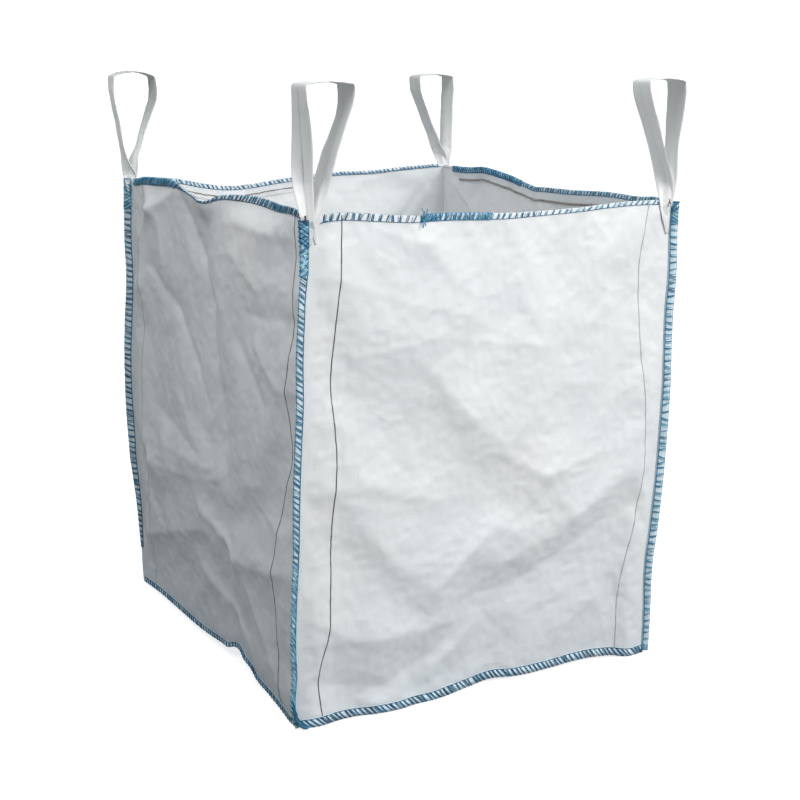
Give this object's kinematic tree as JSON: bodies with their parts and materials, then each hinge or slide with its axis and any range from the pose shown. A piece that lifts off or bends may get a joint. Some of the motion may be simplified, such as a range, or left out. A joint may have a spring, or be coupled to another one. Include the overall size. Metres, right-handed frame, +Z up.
{
  "type": "bulk bag",
  "caption": "Open-topped box of white woven cloth with blue overlocked seams and an upright webbing lifting loop at each corner.",
  "frame": {"origin": "middle of the underside of the base", "axes": "+X along the front panel, +Y from the front to the back, +Z up to the open mouth and the loops"},
  "size_m": [0.891, 0.99, 1.251],
  "materials": {
    "panel_cloth": "satin",
    "webbing": "satin",
    "blue_thread": "satin",
    "brown_thread": "matte",
    "marker_yarn": "matte",
    "tack_thread": "matte"
  },
  "bodies": {
    "bag": {"base_panel": "panel_cloth", "side_panel_front": "panel_cloth", "marker_yarns_front": "marker_yarn", "base_seam_front": "panel_cloth", "base_thread_front": "blue_thread", "side_panel_right": "panel_cloth", "marker_yarns_right": "marker_yarn", "base_seam_right": "panel_cloth", "base_thread_right": "blue_thread", "side_panel_back": "panel_cloth", "marker_yarns_back": "marker_yarn", "base_seam_back": "panel_cloth", "base_thread_back": "blue_thread", "side_panel_left": "panel_cloth", "marker_yarns_left": "marker_yarn", "base_seam_left": "panel_cloth", "base_thread_left": "blue_thread", "corner_seam_front_left": "panel_cloth", "corner_thread_front_left": "blue_thread", "corner_seam_front_right": "panel_cloth", "corner_thread_front_right": "blue_thread", "corner_seam_back_right": "panel_cloth", "corner_thread_back_right": "blue_thread", "corner_seam_back_left": "panel_cloth", "corner_thread_back_left": "blue_thread"},
    "rim": {"rim_hem_front": "panel_cloth", "rim_thread_front": "blue_thread", "hem_thread_front": "brown_thread", "rim_hem_right": "panel_cloth", "rim_thread_right": "blue_thread", "hem_thread_right": "brown_thread", "rim_hem_back": "panel_cloth", "rim_thread_back": "blue_thread", "hem_thread_back": "brown_thread", "rim_hem_left": "panel_cloth", "rim_thread_left": "blue_thread", "hem_thread_left": "brown_thread", "loop_leg_front_left": "webbing", "loop_tack_front_left": "tack_thread", "loop_leg_front_right": "webbing", "loop_tack_front_right": "tack_thread", "loop_leg_back_right": "webbing", "loop_tack_back_right": "tack_thread", "loop_leg_back_left": "webbing", "loop_tack_back_left": "tack_thread"},
    "loop_front_left": {"lifting_loop_front_left": "webbing"},
    "loop_front_right": {"lifting_loop_front_right": "webbing"},
    "loop_back_right": {"lifting_loop_back_right": "webbing"},
    "loop_back_left": {"lifting_loop_back_left": "webbing"}
  },
  "joints": [
    {"name": "bag_collapse", "type": "slide", "parent": "bag", "child": "rim", "axis": [0, 0, -1], "range_m": [0, 0.45], "deforming": ["side_panel_front", "side_panel_right", "side_panel_back", "side_panel_left", "marker_yarns_front", "marker_yarns_right", "marker_yarns_back", "marker_yarns_left", "corner_seam_front_left", "corner_seam_front_right", "corner_seam_back_right", "corner_seam_back_left", "corner_thread_front_left", "corner_thread_front_right", "corner_thread_back_right", "corner_thread_back_left"]},
    {"name": "loop_front_left_fold", "type": "hinge", "parent": "rim", "child": "loop_front_left", "pos_m": [-0.432, -0.465, 1.01], "axis": [0, 1, 0], "range_deg": [-150, 50]},
    {"name": "loop_front_right_fold", "type": "hinge", "parent": "rim", "child": "loop_front_right", "pos_m": [0.432, -0.465, 1.01], "axis": [0, -1, 0], "range_deg": [-150, 50]},
    {"name": "loop_back_right_fold", "type": "hinge", "parent": "rim", "child": "loop_back_right", "pos_m": [0.432, 0.465, 1.01], "axis": [0, -1, 0], "range_deg": [-150, 50]},
    {"name": "loop_back_left_fold", "type": "hinge", "parent": "rim", "child": "loop_back_left", "pos_m": [-0.432, 0.465, 1.01], "axis": [0, 1, 0], "range_deg": [-150, 50]}
  ]
}
